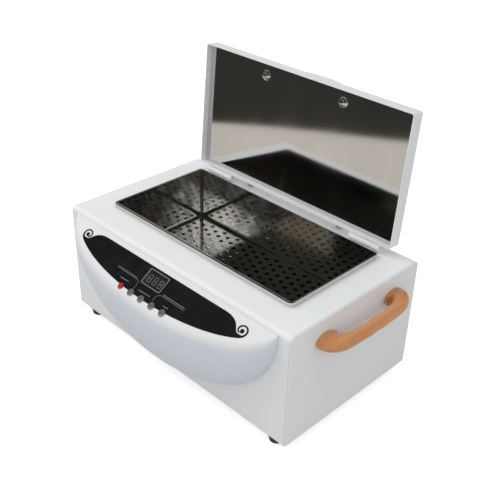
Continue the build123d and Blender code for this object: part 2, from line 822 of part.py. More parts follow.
def console_profile(inset, shrink):
    """Side view of the console about its anchor, with the wall taken off by the inset."""
    reach = shrink * (console_face_depth - inset) * math.cos(tilt)
    fall = shrink * (console_face_depth - inset) * math.sin(tilt)
    low = (console_underside + inset - console_anchor(inset)) * shrink ** console_fullness
    behind = 2 * inset
    turn = min(console_nose_round - inset, 0.45 * reach)
    roll = min(console_back_round, 0.3 * reach)
    top = (behind, behind * math.tan(tilt))
    face_start = (top[0] - roll * math.cos(tilt), top[1] - roll * math.sin(tilt))
    back_start = (behind, top[1] - roll)
    face_end = (-reach + turn * math.cos(tilt), -fall + turn * math.sin(tilt))
    hull_start = (-reach, -fall - turn)
    hull_side = (-reach, -fall + (low + fall) * console_swell)
    hull_belly = (-reach * (1 - console_belly), low)
    bottom = (behind, low)
    return [
        Line(face_start, face_end),
        Bezier(face_end, (-reach, -fall), hull_start),
        Bezier(hull_start, hull_side, hull_belly, bottom),
        Line(bottom, back_start),
        Bezier(back_start, top, face_start),
    ]


def console_hull(inset):
    """Boat-shaped body: the middle profile shrinks towards each end as the cosine of an angle."""
    semi = console_semi - inset
    sections = []
    for step in range(console_sections):
        angle = math.radians(console_end_angle * (2 * step / (console_sections - 1) - 1))
        profile = make_face(console_profile(inset, math.cos(angle)))
        centre = (semi * math.sin(angle), 0, console_anchor(inset))
        sections.append(Plane(origin=centre, x_dir=(0, 1, 0), z_dir=(1, 0, 0)) * profile)
    return loft(sections)


def console_boss_places():
    return [
        (side * console_boss_x, z)
        for side in (-1, 1)
        for z in (console_boss_upper_z, console_boss_lower_z)
    ]


def board_post_places():
    return [
        (side * board_post_x, board_slope + end * board_post_slope / 2)
        for side in (-1, 1)
        for end in (-1, 1)
    ]


def button_xs():
    return [first_button_x + index * control_pitch for index in range(button_count)]


def lamp_x():
    return first_button_x - control_pitch


def console_shell():
    """Moulded console with a tilted face, a hull-shaped wall, fixing bosses and board posts."""
    hull = console_hull(0)
    shell = hull - console_hull(console_wall)
    for x, z in console_boss_places():
        boss = Pos(x, 0, z) * Rot(90, 0, 0) * Cylinder(
            console_boss_diameter / 2, 80, align=(Align.CENTER, Align.CENTER, Align.MIN)
        )
        shell += boss & hull
    for x, slope in board_post_places():
        post = Cylinder(board_post_diameter / 2, board_drop - console_wall / 2,
                        align=(Align.CENTER, Align.CENTER, Align.MAX))
        shell += on_face(x, slope, -console_wall / 2) * post
    for x, z in console_boss_places():
        shell -= Pos(x, 0, z) * Rot(90, 0, 0) * Cylinder(m3_diameter / 2 + thread_gap, 2 * console_screw_bite)
    for x, slope in board_post_places():
        shell -= on_face(x, slope, -board_drop) * Cylinder(m3_diameter / 2 + thread_gap, 12)
    opening = Box(display_width + 2 * display_gap, display_height + 2 * display_gap, 4 * console_wall)
    shell -= on_face(display_x, display_slope) * opening
    for x in button_xs():
        shell -= on_face(x, control_row_slope) * Cylinder(button_diameter / 2 + button_play, 4 * console_wall)
    lamp_hole = Cylinder(lamp_diameter / 2 + display_gap, 4 * console_wall)
    shell -= on_face(lamp_x(), control_row_slope) * lamp_hole
    behind = Box(4 * half_width, 4 * half_width, 4 * half_width,
                 align=(Align.CENTER, Align.MIN, Align.CENTER))
    return shell - behind


def curl_stroke_face():
    """Scroll at the label's end: a stroke that winds in to a round dot."""
    outer = []
    inner = []
    for degrees, far, near in curl_stroke:
        angle = math.radians(degrees)
        outer.append((far * math.cos(angle), far * math.sin(angle)))
        inner.append((near * math.cos(angle), near * math.sin(angle)))
    edges = [
        Spline(*outer),
        Line(outer[-1], inner[-1]),
        Spline(*reversed(inner)),
        Line(inner[0], outer[0]),
    ]
    return make_face(edges) + Circle(curl_disc_radius)


def console_label():
    """Black control label: straight on top, bowed below, with a scroll at each end."""
    low_angle = math.acos(curl_x / label_half_length)
    low_end = (curl_x, -label_low_edge * math.sin(low_angle))
    low_edge = []
    steps = 12
    for step in range(steps + 1):
        angle = low_angle + (math.pi - 2 * low_angle) * step / steps
        low_edge.append((label_half_length * math.cos(angle), -label_low_edge * math.sin(angle)))
    shoulder = (label_shoulder, -label_top_edge)
    side_points = [(label_half_length - inset, -slope) for inset, slope in label_side_points]
    right_side = Spline(shoulder, *side_points, tangents=[(1, 0), (1, 0.1)])
    left_side = mirror(right_side, about=Plane.YZ)
    neck = side_points[-1]
    edges = [
        Line((-shoulder[0], shoulder[1]), shoulder),
        right_side,
        Line(neck, low_end),
        Spline(*low_edge),
        Line((-low_end[0], low_end[1]), (-neck[0], neck[1])),
        left_side,
    ]
    sheet = make_face(edges)
    scroll = Pos(curl_x, -curl_slope) * curl_stroke_face()
    sheet += scroll
    sheet += mirror(scroll, about=Plane.YZ)
    sheet -= Pos(display_x, -display_slope) * Rectangle(
        display_width + 2 * display_gap, display_height + 2 * display_gap
    )
    for x in button_xs():
        sheet -= Pos(x, -control_row_slope) * Circle(button_diameter / 2 + button_play)
    sheet -= Pos(lamp_x(), -control_row_slope) * Circle(lamp_diameter / 2 + display_gap)
    return face_plane * extrude(sheet, label_thickness)


def display_window():
    pane = Box(display_width, display_height, window_thickness,
               align=(Align.CENTER, Align.CENTER, Align.MAX))
    pane = chamfer(pane.faces().sort_by(Axis.Z)[-1].edges(), 0.25)
    return on_face(display_x, display_slope, label_thickness) * pane


def display_module():
    """Three-digit block that stands on the control board behind the window."""
    top = label_thickness - window_thickness - display_gap
    body = Box(display_width - 2.0, display_height - 2.0, board_drop + top,
               align=(Align.CENTER, Align.CENTER, Align.MAX))
    return on_face(display_x, display_slope, top) * body


def indicator_lamp():
    """Domed lamp whose collar lies behind the console wall, on a stem from the board."""
    radius = lamp_diameter / 2
    body = Cylinder(radius, lamp_proud + board_drop, align=(Align.CENTER, Align.CENTER, Align.MIN))
    body = fillet(body.edges().filter_by(GeomType.CIRCLE).sort_by(Axis.Z)[-1], radius * 0.8)
    collar = Cylinder(radius + lamp_collar, 1.0, align=(Align.CENTER, Align.CENTER, Align.MAX))
    body += Pos(0, 0, board_drop - console_wall - display_gap) * collar
    return on_face(lamp_x(), control_row_slope, -board_drop) * body


def button(x):
    """Plated plunger with a domed top and a collar that keeps it in the console."""
    radius = button_diameter / 2
    collar_top = -console_wall - button_rest_gap
    foot_level = -board_drop + switch_height + button_travel + button_rest_gap
    body = Pos(0, 0, foot_level) * Cylinder(
        radius, button_proud - foot_level, align=(Align.CENTER, Align.CENTER, Align.MIN)
    )
    body = fillet(body.edges().filter_by(GeomType.CIRCLE).sort_by(Axis.Z)[-1], button_dome)
    collar = Cylinder(radius + button_collar, button_collar_height,
                      align=(Align.CENTER, Align.CENTER, Align.MAX))
    body += Pos(0, 0, collar_top) * collar
    return on_face(x, control_row_slope) * body


def push_switches():
    """Key switches on the board, one under each button."""
    block = Box(switch_size, switch_size, switch_height * 0.75,
                align=(Align.CENTER, Align.CENTER, Align.MIN))
    block += Cylinder(switch_stem_diameter / 2, switch_height,
                      align=(Align.CENTER, Align.CENTER, Align.MIN))
    return [on_face(x, control_row_slope, -board_drop) * block for x in button_xs()]


def control_board():
    board = Box(board_width, board_height, board_thickness,
                align=(Align.CENTER, Align.CENTER, Align.MAX))
    board = on_face(0, board_slope, -board_drop) * board
    for x, slope in board_post_places():
        board -= on_face(x, slope, -board_drop) * Cylinder(m3_diameter / 2 + screw_clearance, 8)
    return board


def control_board_screws():
    screw = pan_head_screw(6.0, m3_diameter, m3_head_diameter, m3_head_height)
    level = -board_drop - board_thickness
    return [on_face(x, slope, level) * Rot(180, 0, 0) * screw for x, slope in board_post_places()]


def console_screws():
    """Screws from inside the case into the console's bosses."""
    length = case_sheet + console_screw_bite - 2 * screw_clearance
    screw = Rot(-90, 0, 0) * pan_head_screw(length, m3_diameter, m3_head_diameter, m3_head_height)
    return [Pos(x, case_sheet, z) * screw for x, z in console_boss_places()]


def spacer_places():
    return [
        (power_board_x + side * (power_board_width / 2 - spacer_inset),
         power_board_y + end * (power_board_depth / 2 - spacer_inset))
        for side in (-1, 1)
        for end in (-1, 1)
    ]


def board_spacers():
    spacer = Cylinder(spacer_diameter / 2, spacer_height, align=(Align.CENTER, Align.CENTER, Align.MIN))
    return [Pos(x, y, base_top) * spacer for x, y in spacer_places()]


def power_board():
    board = rounded_block(power_board_width, power_board_depth, board_thickness, 2.0)
    return Pos(power_board_x, power_board_y, base_top + spacer_height) * board


def board_top():
    return base_top + spacer_height + board_thickness


def transformer():
    """Small mains transformer: stacked core with its coil bobbin."""
    width, depth, height = transformer_size
    core = Box(width, depth * 0.45, height, align=(Align.CENTER, Align.CENTER, Align.MIN))
    coil = Box(width * 0.6, depth, height * 0.72, align=(Align.CENTER, Align.CENTER, Align.MIN))
    coil = fillet(coil.edges().filter_by(Axis.X), 2.0)
    core += Pos(0, 0, height * 0.14) * coil
    return Pos(power_board_x - power_board_width * 0.28, power_board_y, board_top()) * core


def relay():
    width, depth, height = relay_size
    case = Box(width, depth, height, align=(Align.CENTER, Align.CENTER, Align.MIN))
    case = fillet(case.edges().filter_by(Axis.Z), 1.0)
    return Pos(power_board_x + power_board_width * 0.1, power_board_y, board_top()) * case


def terminal_block():
    width, depth, height = terminal_size
    block = Box(width, depth, height, align=(Align.CENTER, Align.CENTER, Align.MIN))
    pitch = width / terminal_ways
    for way in range(terminal_ways):
        x = (way - (terminal_ways - 1) / 2) * pitch
        block -= Pos(x, 0, height) * Cylinder(pitch * 0.3, 4.0)
    y = power_board_y + power_board_depth / 2 - depth
    return Pos(power_board_x, y, board_top()) * block


inlet_plane = Plane(origin=(inlet_x, case_depth, inlet_z), x_dir=(-1, 0, 0), z_dir=(0, 1, 0))


def inlet_hollow_size():
    return inlet_body_width - 2 * inlet_wall, inlet_body_height - 2 * inlet_wall


def power_inlet():
    """Mains inlet: an oval flange with a deep socket."""
    flange = extrude(SlotOverall(inlet_flange_width, inlet_flange_height), inlet_flange_thickness)
    flange = fillet(flange.faces().sort_by(Axis.Z)[-1].edges(), 0.8)
    body = Box(inlet_body_width, inlet_body_height, inlet_body_depth,
               align=(Align.CENTER, Align.CENTER, Align.MAX))
    inlet = flange + body
    hollow_width, hollow_height = inlet_hollow_size()
    hollow = Rectangle(hollow_width, hollow_height)
    hollow = chamfer(hollow.vertices().group_by(Axis.Y)[-1], 4.0)
    hollow = fillet(hollow.vertices().group_by(Axis.Y)[0], 1.5)
    depth = inlet_body_depth - inlet_wall + inlet_flange_thickness
    inlet -= Pos(0, 0, inlet_flange_thickness) * extrude(hollow, -depth)
    for side in (-1, 1):
        inlet -= Pos(side * inlet_screw_spacing / 2, 0, 0) * Cylinder(
            m3_diameter / 2 + screw_clearance, 4 * inlet_flange_thickness
        )
    for x, y in inlet_pin_places():
        slot = Box(inlet_pin_width, inlet_pin_height, 4 * inlet_body_depth)
        inlet -= Pos(x, y, 0) * slot
    return inlet_plane * inlet


def inlet_pin_places():
    low = -inlet_earth_lift / 2
    return [(-inlet_pin_pitch, low), (0, low + inlet_earth_lift), (inlet_pin_pitch, low)]


def inlet_pins():
    """The inlet's three flat pins, each with a tab behind."""
    floor = -inlet_body_depth + inlet_wall
    pin = Box(inlet_pin_width, inlet_pin_height, inlet_pin_length + inlet_wall + 6.0,
              align=(Align.CENTER, Align.CENTER, Align.MAX))
    pin = chamfer(pin.faces().sort_by(Axis.Z)[-1].edges(), 0.5)
    return [inlet_plane * Pos(x, y, floor + inlet_pin_length) * pin for x, y in inlet_pin_places()]


def inlet_screws():
    screw = pan_head_screw(8.0, m3_diameter, m3_head_diameter, m3_head_height)
    return [
        inlet_plane * Pos(side * inlet_screw_spacing / 2, 0, inlet_flange_thickness) * screw
        for side in (-1, 1)
    ]


def all_parts():
    parts = {
        "case_shell": [case_shell()],
        "left_side_panel": [side_panel(-1)],
        "right_side_panel": [side_panel(1)],
        "base_plate": [base_plate()],
        "foot_screws": foot_screws(),
        "foot_nuts": foot_nuts(),
        "chamber_pan": [chamber_pan()],
        "chamber_floor": [chamber_floor()],
        "heater_plate": [heater_plate()],
        "heating_element": [heating_element()],
        "heater_clamps": heater_clamps(),
        "chamber_insulation": [chamber_insulation()],
        "temperature_probe": [temperature_probe()],
        "thermal_cutout": [thermal_cutout()],
        "lid_shell": [lid_shell()],
        "lid_liner": [lid_liner()],
        "lid_insulation": [lid_insulation()],
        "lid_handle": [lid_handle()],
        "lid_screws": lid_screws(),
        "lid_cup_washers": lid_cup_washers(),
        "hinge_case_screws": hinge_case_screws(),
        "hinge_lid_screws": hinge_lid_screws(),
        "lid_buffers": lid_buffers(),
        "left_handle": [side_handle(-1)],
        "right_handle": [side_handle(1)],
        "handle_screws": side_handle_screws(),
        "console_shell": [console_shell()],
        "console_label": [console_label()],
        "console_screws": console_screws(),
        "display_window": [display_window()],
        "display_module": [display_module()],
        "indicator_lamp": [indicator_lamp()],
        "push_switches": push_switches(),
        "control_board": [control_board()],
        "control_board_screws": control_board_screws(),
        "power_board": [power_board()],
        "board_spacers": board_spacers(),
        "transformer": [transformer()],
        "relay": [relay()],
        "terminal_block": [terminal_block()],
        "power_inlet": [power_inlet()],
        "inlet_pins": inlet_pins(),
        "inlet_screws": inlet_screws(),
    }
    for name, centre in hinge_centres.items():
        parts[f"{name}_hinge_case_leaf"] = [hinge_case_leaf(centre)]
        parts[f"{name}_hinge_lid_leaf"] = [hinge_lid_leaf(centre)]
        parts[f"{name}_hinge_pin"] = [hinge_pin(centre)]
    for index, x in enumerate(button_xs()):
        parts[f"button_{index + 1}"] = [button(x)]
    for (x, y), name in zip(foot_places, ("front_left", "rear_left", "front_right", "rear_right")):
        parts[f"{name}_foot"] = [foot(x, y)]
    return parts


def main():
    parts = all_parts()
    boxes = [piece.bounding_box() for pieces in parts.values() for piece in pieces]
    front = min(box.min.Y for box in boxes)
    back = max(box.max.Y for box in boxes)
    to_frame = Pos(0, -(front + back) / 2, foot_height)
    os.makedirs("parts", exist_ok=True)
    for name, pieces in parts.items():
        solids = [to_frame * solid for piece in pieces for solid in piece.solids()]
        shape = solids[0] if len(solids) == 1 else Compound(solids)
        export_step(shape, f"parts/{name}.step")
    print("moved by", to_frame.position)
    print("hinge axis", to_frame.position + Vector(0, hinge_axis_y, hinge_axis_z))
    print("press direction", -face_plane.z_dir)


main()
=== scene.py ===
# %% [markdown]
# This script dresses a bench-top dry heat sterilizer that was drawn in CAD. Everything made
# below lies in the same space and rides on one of those bodies, so the lid can be shut and
# the buttons pressed without touching this script.

import math

import bmesh
import bpy
from mathutils import Matrix, Vector


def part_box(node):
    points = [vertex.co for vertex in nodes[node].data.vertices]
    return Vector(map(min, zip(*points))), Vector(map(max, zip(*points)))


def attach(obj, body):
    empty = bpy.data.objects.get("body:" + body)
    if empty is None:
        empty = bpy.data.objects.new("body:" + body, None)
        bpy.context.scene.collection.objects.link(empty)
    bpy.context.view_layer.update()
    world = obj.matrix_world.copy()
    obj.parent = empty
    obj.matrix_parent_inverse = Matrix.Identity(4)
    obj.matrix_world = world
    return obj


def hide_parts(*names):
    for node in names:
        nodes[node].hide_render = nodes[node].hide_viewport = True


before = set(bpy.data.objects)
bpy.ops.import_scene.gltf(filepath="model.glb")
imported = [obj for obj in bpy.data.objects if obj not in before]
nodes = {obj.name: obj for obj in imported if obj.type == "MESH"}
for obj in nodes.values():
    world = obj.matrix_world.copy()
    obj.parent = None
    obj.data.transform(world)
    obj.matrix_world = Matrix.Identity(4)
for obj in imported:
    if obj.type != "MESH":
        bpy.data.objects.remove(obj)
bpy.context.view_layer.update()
mm = 0.001

# %% [markdown]
# Most sizes are read from the solids, so that a change there moves the finer pieces too.
# The console face is a tilted plane that starts at the case front, and everything on it is
# placed by two lengths: x along the face and the slope, measured down it from its top edge.

# %% Places read from the frame
case_low, case_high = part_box("case_shell")
floor_low, floor_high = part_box("chamber_floor")
label_low, label_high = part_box("console_label")
pin_low, pin_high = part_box("left_hinge_pin")
face_tilt = math.radians(33.5)
label_sheet = 0.4 * mm
label_top_edge = 8.0 * mm
face_rise = label_top_edge * math.sin(face_tilt) - label_sheet * math.cos(face_tilt)
face_start = Vector((0, case_low.y, label_high.z + face_rise))
hinge_axis = (pin_low + pin_high) / 2
lid_angle = math.radians(-94.3)


def on_face(x, slope, height=0.0):
    """Matrix of a place on the console face, with its own z pointing out of the face."""
    turn = Matrix.Rotation(face_tilt, 4, "X")
    return Matrix.Translation(face_start) @ turn @ Matrix.Translation((x, -slope, height))


def on_lid(place):
    """Matrix that swings a place on the shut lid to where it is on the open lid."""
    about = Vector((0, hinge_axis.y, hinge_axis.z))
    swing = Matrix.Rotation(lid_angle, 4, "X")
    return Matrix.Translation(about) @ swing @ Matrix.Translation(-about) @ place


print("console face starts at", [round(v, 4) for v in face_start])

# %% [markdown]
# Blender's modelling operators act on whatever is selected, and loading leaves the solids
# selected. These helpers select one piece, or some of its faces or edges, and settle a
# finished piece: its place goes into its mesh, so that its object sits at the origin.

# %% Selecting and settling pieces
def select_only(piece):
    bpy.ops.object.select_all(action="DESELECT")
    piece.select_set(True)
    bpy.context.view_layer.objects.active = piece


def pick(piece, kind, test):
    """In edit mode, select the faces or edges whose middle passes the test."""
    bpy.ops.mesh.select_all(action="DESELECT")
    bpy.ops.mesh.select_mode(type=kind)
    work = bmesh.from_edit_mesh(piece.data)
    for part in work.faces if kind == "FACE" else work.edges:
        corners = [v.co for v in part.verts]
        middle = sum(corners, Vector()) / len(corners)
        direction = part.normal if kind == "FACE" else (corners[1] - corners[0]).normalized()
        if test(middle, direction):
            part.select_set(True)
    bmesh.update_edit_mesh(piece.data)


def apply_modifier(piece, kind, **settings):
    modifier = piece.modifiers.new(kind.title(), kind)
    for name, value in settings.items():
        setattr(modifier, name, value)
    select_only(piece)
    bpy.ops.object.modifier_apply(modifier=modifier.name)


def settle(piece, name, body, place=None, smooth=35):
    """Name a piece, put it in its place, smooth its round faces and let it ride on a body."""
    piece.name = name
    if place is not None:
        piece.matrix_world = place @ piece.matrix_world
    select_only(piece)
    bpy.ops.object.transform_apply(location=True, rotation=True, scale=True)
    bpy.ops.object.shade_smooth_by_angle(angle=math.radians(smooth))
    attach(piece, body)
    return piece


def new_cylinder(radius, low, high, sides=48, x=0.0, y=0.0):
    bpy.ops.object.select_all(action="DESELECT")
    bpy.ops.mesh.primitive_cylinder_add(
        radius=radius, depth=high - low, vertices=sides, location=(x, y, (low + high) / 2)
    )
    return bpy.context.object


def new_block(width, depth, height, centre=(0, 0, 0)):
    bpy.ops.object.select_all(action="DESELECT")
    bpy.ops.mesh.primitive_cube_add(size=1, location=centre, scale=(width, depth, height))
    bpy.ops.object.transform_apply(location=True, rotation=True, scale=True)
    return bpy.context.object


def join(pieces):
    bpy.ops.object.select_all(action="DESELECT")
    for piece in pieces:
        piece.select_set(True)
    bpy.context.view_layer.objects.active = pieces[0]
    bpy.ops.object.join()
    return bpy.context.object


print("modelling helpers ready")

# %% [markdown]
# A procedural material is a graph of nodes, and most of it is plain arithmetic on patterns.
# Wrapping a socket in a small class lets the arithmetic be written as ordinary sums, and
# each sum adds its own Math node. One method makes every other kind of node.

# %% Shader sums
class Signal:
    """One output socket, usable in ordinary arithmetic."""

    def __init__(self, finish, socket):
        self.finish = finish
        self.socket = socket

    def sum(self, operation, first, second=0.0):
        return self.finish.node("ShaderNodeMath", {"operation": operation}, {0: first, 1: second})

    def __add__(self, other):
        return self.sum("ADD", self, other)

    def __sub__(self, other):
        return self.sum("SUBTRACT", self, other)

    def __rsub__(self, other):
        return self.sum("SUBTRACT", other, self)

    def __mul__(self, other):
        return self.sum("MULTIPLY", self, other)

    __radd__ = __add__
    __rmul__ = __mul__


class Finish:
    """A material that is being built on one Principled shader."""

    def __init__(self, name, **constants):
        self.material = bpy.data.materials.new(name)
        self.material.use_nodes = True
        self.tree = self.material.node_tree
        self.shader = next(n for n in self.tree.nodes if n.type == "BSDF_PRINCIPLED")
        for socket, value in constants.items():
            self.feed(socket.replace("_", " ").title(), value)

    def feed(self, socket, value):
        entry = self.shader.inputs[socket]
        if isinstance(value, Signal):
            self.tree.links.new(value.socket, entry)
        else:
            entry.default_value = value if not isinstance(value, tuple) else (*value, 1.0)[:4]

    def node(self, kind, settings=None, inputs=None, output=0):
        made = self.tree.nodes.new(kind)
        for name, value in (settings or {}).items():
            if name == "stops":
                ramp = made.color_ramp
                for index, (position, colour) in enumerate(value):
                    stop = ramp.elements[index] if index < 2 else ramp.elements.new(position)
                    stop.position = position
                    stop.color = (*colour, 1.0)
            else:
                setattr(made, name, value)
        for name, value in (inputs or {}).items():
            if isinstance(value, Signal):
                self.tree.links.new(value.socket, made.inputs[name])
            else:
                made.inputs[name].default_value = value
        return Signal(self, made.outputs[output])

    def where(self, stretch=(1, 1, 1), turn=(0, 0, 0)):
        """The place on the piece, in metres, stretched for a pattern that runs one way."""
        place = self.node("ShaderNodeTexCoord", output="Object")
        return self.node("ShaderNodeMapping", {}, {0: place, "Rotation": turn, "Scale": stretch})

    def noise(self, scale, detail=3.0, rough=0.5, place=None):
        place = place or self.where()
        values = {"Vector": place, "Scale": scale, "Detail": detail, "Roughness": rough}
        return self.node("ShaderNodeTexNoise", {}, values)

    def ramp(self, factor, *stops):
        return self.node("ShaderNodeValToRGB", {"stops": stops}, {0: factor})

    def mix(self, factor, first, second):
        first, second = [(*c, 1.0) if isinstance(c, tuple) else c for c in (first, second)]
        settings = {"data_type": "RGBA"}
        return self.node("ShaderNodeMix", settings, {0: factor, 6: first, 7: second}, output=2)

    def bump(self, height, strength, distance=0.0005):
        values = {"Strength": strength, "Distance": distance, "Height": height}
        self.feed("Normal", self.node("ShaderNodeBump", {}, values))


def paint(material, *names):
    for name in names:
        piece = nodes.get(name) or bpy.data.objects[name]
        piece.data.materials.clear()
        piece.data.materials.append(material)


print("shader helpers ready")

# %% [markdown]
# The case, side panels, lid and hinges are steel sheet with baked white enamel. Sprayed
# enamel is never quite flat: it has a fine orange peel and a slow drift in tone, and it is
# a little duller where hands wipe it. Fine noise gives the peel and coarse noise the drift.

# %% White enamel
def enamel_finish():
    enamel = Finish("white_enamel", coat_weight=0.15, coat_roughness=0.2)
    drift = enamel.noise(9.0, 2.0)
    duller, brighter = (0.80, 0.80, 0.785), (0.83, 0.83, 0.82)
    enamel.feed("Base Color", enamel.ramp(drift, (0.3, duller), (0.7, brighter)))
    wiped = enamel.noise(22.0, 4.0)
    enamel.feed("Roughness", wiped * 0.12 + 0.30)
    enamel.bump(enamel.noise(1100.0, 2.0), 0.05, 0.0002)
    return enamel.material


white_enamel = enamel_finish()
paint(white_enamel, "case_shell", "left_side_panel", "right_side_panel", "lid_shell")
paint(white_enamel, "left_hinge_case_leaf", "right_hinge_case_leaf")
paint(white_enamel, "left_hinge_lid_leaf", "right_hinge_lid_leaf")
print("enamelled the case, lid and hinges")

# %% [markdown]
# The console is one moulding in white plastic with a soft sheen. Its texture is finer and
# rounder than the enamel's. The face is a warm white. Below the roll round it, a cooler and
# greyer painted shade is mixed in on the body, which faces down, so the tone follows the depth
# under the face's plane.
# The lid's handle is painted like the lid that it is screwed to.

# %% Moulded white plastic
# Depths under the face's plane where the painted shade on the body begins and where it is full.
painted_shade_starts = 1.0 * mm
painted_shade_full = 11.0 * mm


def moulded_finish():
    moulded = Finish("moulded_white", coat_weight=0.2, coat_roughness=0.25)
    drift = moulded.noise(6.0, 2.0)
    face_white = moulded.ramp(drift, (0.3, (0.73, 0.72, 0.705)), (0.7, (0.76, 0.75, 0.735)))
    # Painted shade: the body below the face, which faces down, is coloured cooler and greyer.
    body_painted_shade = moulded.ramp(drift, (0.3, (0.66, 0.695, 0.74)), (0.7, (0.69, 0.725, 0.77)))
    place = moulded.node("ShaderNodeTexCoord", output="Object")
    depth_of = {"operation": "DOT_PRODUCT"}
    into_face = (0, math.sin(face_tilt), -math.cos(face_tilt))
    depth = moulded.node("ShaderNodeVectorMath", depth_of, {0: place, 1: into_face}, output=1)
    top = face_start.dot(Vector(into_face))
    smooth = {"interpolation_type": "SMOOTHSTEP"}
    below = {0: depth - top, 1: painted_shade_starts, 2: painted_shade_full}
    share = moulded.node("ShaderNodeMapRange", smooth, below)
    moulded.feed("Base Color", moulded.mix(share, face_white, body_painted_shade))
    moulded.feed("Roughness", moulded.noise(30.0, 4.0) * 0.1 + 0.34)
    moulded.bump(moulded.noise(1800.0, 1.0), 0.04, 0.0002)
    return moulded.material


moulded_white = moulded_finish()
paint(moulded_white, "console_shell")
paint(white_enamel, "lid_handle")
print("dressed the console and the lid's handle")

# %% [markdown]
# The pan, its perforated floor and the lid's liner are mirror-polished stainless steel.
# Thin sheet is slightly wavy, which breaks a reflection into patches, and it carries
# faint wiping marks. A low, broad bump gives the waves and streaky noise the marks.

# %% Polished stainless steel
def polished_finish(name, waves, wave_depth, tone, satin=0.03):
    steel = Finish(name, metallic=1.0)
    smear = steel.noise(14.0, 5.0, 0.6, steel.where((1, 1, 0.35)))
    bright, dull = tone
    steel.feed("Base Color", steel.ramp(smear, (0.35, dull), (0.65, bright)))
    steel.feed("Roughness", smear * 0.07 + satin)
    steel.bump(steel.noise(waves, 1.0), 0.35, wave_depth)
    return steel.material


pan_tone = (0.72, 0.72, 0.71), (0.64, 0.64, 0.63)
liner_tone = (0.74, 0.735, 0.72), (0.68, 0.675, 0.66)
floor_tone = (0.62, 0.62, 0.59), (0.50, 0.50, 0.48)
pan_steel = polished_finish("pan_steel", 26.0, 0.0008, pan_tone)
liner_steel = polished_finish("liner_steel", 7.0, 0.0006, liner_tone)
floor_steel = polished_finish("floor_steel", 30.0, 0.0004, floor_tone, satin=0.11)
paint(pan_steel, "chamber_pan")
paint(liner_steel, "lid_liner")
print("polished the pan and the liner")

# %% [markdown]
# The side handles are varnished beech. Beech has a straight, fine grain with short darker
# flecks along it, so the pattern is noise stretched along the handle, in two sizes.

# %% Varnished beech
def beech_finish():
    beech = Finish("varnished_beech", coat_weight=0.35, coat_roughness=0.18)
    grain = beech.noise(60.0, 6.0, 0.6, beech.where((1.0, 0.06, 1.0)))
    fleck = beech.noise(420.0, 3.0, 0.6, beech.where((1.0, 0.09, 1.0)))
    late_wood, wood, early_wood = (0.45, 0.17, 0.05), (0.60, 0.245, 0.08), (0.68, 0.31, 0.115)
    light = beech.ramp(grain, (0.3, late_wood), (0.5, wood), (0.72, early_wood))
    dark = beech.ramp(fleck, (0.55, (0.0, 0.0, 0.0)), (0.72, (1.0, 1.0, 1.0)))
    beech.feed("Base Color", beech.mix(dark * 0.45, light, (0.33, 0.15, 0.05)))
    beech.feed("Roughness", grain * 0.14 + 0.28)
    beech.bump(fleck, 0.06, 0.0002)
    return beech.material


varnished_beech = beech_finish()
paint(varnished_beech, "left_handle", "right_handle")
print("dressed the side handles")

# %% [markdown]
# The smaller finishes: rubber, black label film and its print, plated metal, dark mouldings,
# zinc sheet, glass wool, circuit board, the smoked pane and the lamp's red lens. Each gets a
# little of the unevenness that the real one shows, from the same kind of noise.

# %% Small finishes
def small_finish(name, first, second, scale, roughness, peel=0.0, stretch=(1, 1, 1), **constants):
    """Finish between two tones, rough in the same pattern, with a fine peel where asked."""
    made = Finish(name, **constants)
    pattern = made.noise(scale, 4.0, 0.55, made.where(stretch))
    made.feed("Base Color", made.ramp(pattern, (0.35, first), (0.65, second)))
    made.feed("Roughness", pattern * 0.12 + (roughness - 0.06))
    if peel:
        made.bump(made.noise(scale * 12, 2.0), peel, 0.0002)
    return made.material


def smoked_glass():
    """Dark pane that lets the digits behind it show through."""
    glass = Finish("smoked_window", base_color=(0.018, 0.02, 0.02), coat_weight=0.5)
    haze = glass.noise(60.0, 3.0)
    glass.feed("Roughness", haze * 0.08 + 0.10)
    glass.feed("Alpha", haze * 0.06 + 0.30)
    return glass.material


black_rubber = small_finish(
    "black_rubber", (0.018, 0.018, 0.019), (0.032, 0.032, 0.033), 120.0, 0.62, peel=0.2
)
pale_rubber = small_finish(
    "pale_rubber", (0.44, 0.44, 0.43), (0.52, 0.52, 0.50), 120.0, 0.6, peel=0.15
)
label_film = small_finish(
    "label_film", (0.006, 0.006, 0.008), (0.010, 0.010, 0.013), 90.0, 0.36, peel=0.04
)
printed_grey = small_finish("printed_grey", (0.15, 0.15, 0.15), (0.20, 0.20, 0.20), 400.0, 0.5)
unlit_digit = small_finish("unlit_digit", (0.50, 0.50, 0.47), (0.58, 0.58, 0.55), 500.0, 0.45)
red_lens = small_finish(
    "red_lens", (0.46, 0.012, 0.016), (0.58, 0.02, 0.024), 300.0, 0.2, coat_weight=0.8
)
plated = small_finish(
    "plated_metal", (0.70, 0.70, 0.71), (0.80, 0.80, 0.81), 160.0, 0.16, metallic=1.0
)
satin_chrome = small_finish(
    "satin_chrome", (0.56, 0.57, 0.58), (0.66, 0.67, 0.68), 160.0, 0.2,
    metallic=0.85, coat_weight=0.5,
)
dark_moulding = small_finish(
    "dark_moulding", (0.025, 0.025, 0.027), (0.04, 0.04, 0.042), 200.0, 0.5, peel=0.1
)
zinc = small_finish("zinc_sheet", (0.42, 0.43, 0.44), (0.56, 0.57, 0.58), 70.0, 0.42, metallic=1.0)
aluminium = small_finish(
    "aluminium_plate", (0.62, 0.63, 0.64), (0.72, 0.73, 0.74), 90.0, 0.4,
    stretch=(0.1, 1, 1), metallic=1.0,
)
sheath = small_finish(
    "heater_sheath", (0.16, 0.14, 0.13), (0.26, 0.24, 0.22), 110.0, 0.5, metallic=0.8
)
brass = small_finish("brass_pins", (0.60, 0.43, 0.16), (0.72, 0.54, 0.24), 150.0, 0.3, metallic=1.0)
wool = small_finish("glass_wool", (0.62, 0.55, 0.30), (0.78, 0.72, 0.45), 300.0, 0.9, peel=0.6)
board_green = small_finish(
    "circuit_board", (0.02, 0.16, 0.07), (0.03, 0.24, 0.11), 240.0, 0.45, coat_weight=0.3
)
